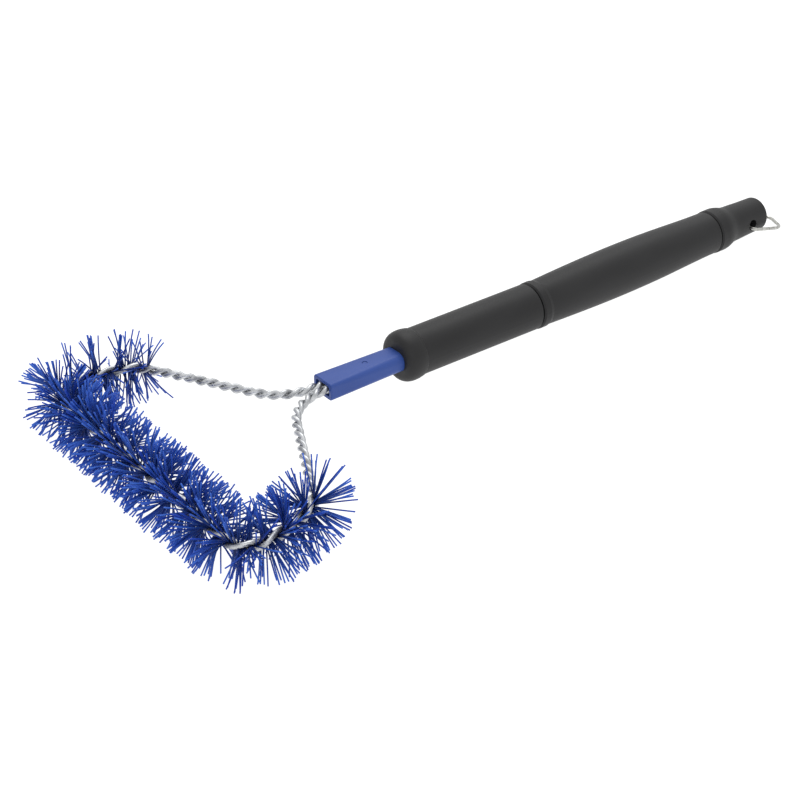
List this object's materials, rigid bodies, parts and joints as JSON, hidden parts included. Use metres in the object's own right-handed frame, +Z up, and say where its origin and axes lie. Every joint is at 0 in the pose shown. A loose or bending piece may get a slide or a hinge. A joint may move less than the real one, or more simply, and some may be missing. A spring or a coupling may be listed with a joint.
{
  "type": "grill cleaning brush",
  "caption": "Grill cleaning brush with a triangular twisted-wire head, blue nylon bristles, blue shank, black grip and a wire hanging loop.",
  "frame": {"origin": "on the ground, under the middle of the brush's box as it lies at rest", "axes": "+X across the head to the right, +Y from the front bar to the hanging loop, +Z up"},
  "size_m": [0.2132, 0.4674, 0.0418],
  "materials": {
    "galvanised_wire": "bright drawn galvanised wire",
    "nylon_bristle": "smooth extruded nylon filament, packed loosely",
    "blue_plastic": "satin moulded",
    "core_plastic": "as moulded",
    "black_plastic": "fine matte texture",
    "zinc_wire": "dull zinc plated"
  },
  "bodies": {
    "brush": {"wire_a_left_arm": "galvanised_wire", "wire_b_left_arm": "galvanised_wire", "wire_a_left_side": "galvanised_wire", "wire_b_left_side": "galvanised_wire", "wire_a_front_bar": "galvanised_wire", "wire_b_front_bar": "galvanised_wire", "wire_a_right_side": "galvanised_wire", "wire_b_right_side": "galvanised_wire", "wire_a_right_arm": "galvanised_wire", "wire_b_right_arm": "galvanised_wire", "bristles_left_side": "nylon_bristle", "bristles_front_bar": "nylon_bristle", "bristles_right_side": "nylon_bristle", "shank": "blue_plastic", "set_pin": "blue_plastic", "core_tube": "core_plastic", "front_grip": "black_plastic", "rear_grip": "black_plastic", "end_cap": "black_plastic"},
    "loop": {"hanging_loop": "zinc_wire"}
  },
  "joints": [
    {"name": "loop_swing", "type": "hinge", "parent": "brush", "child": "loop", "pos_m": [0, 0.2047, 0.01106], "axis": [1, 0, 0], "range_deg": [-130, 148]}
  ]
}
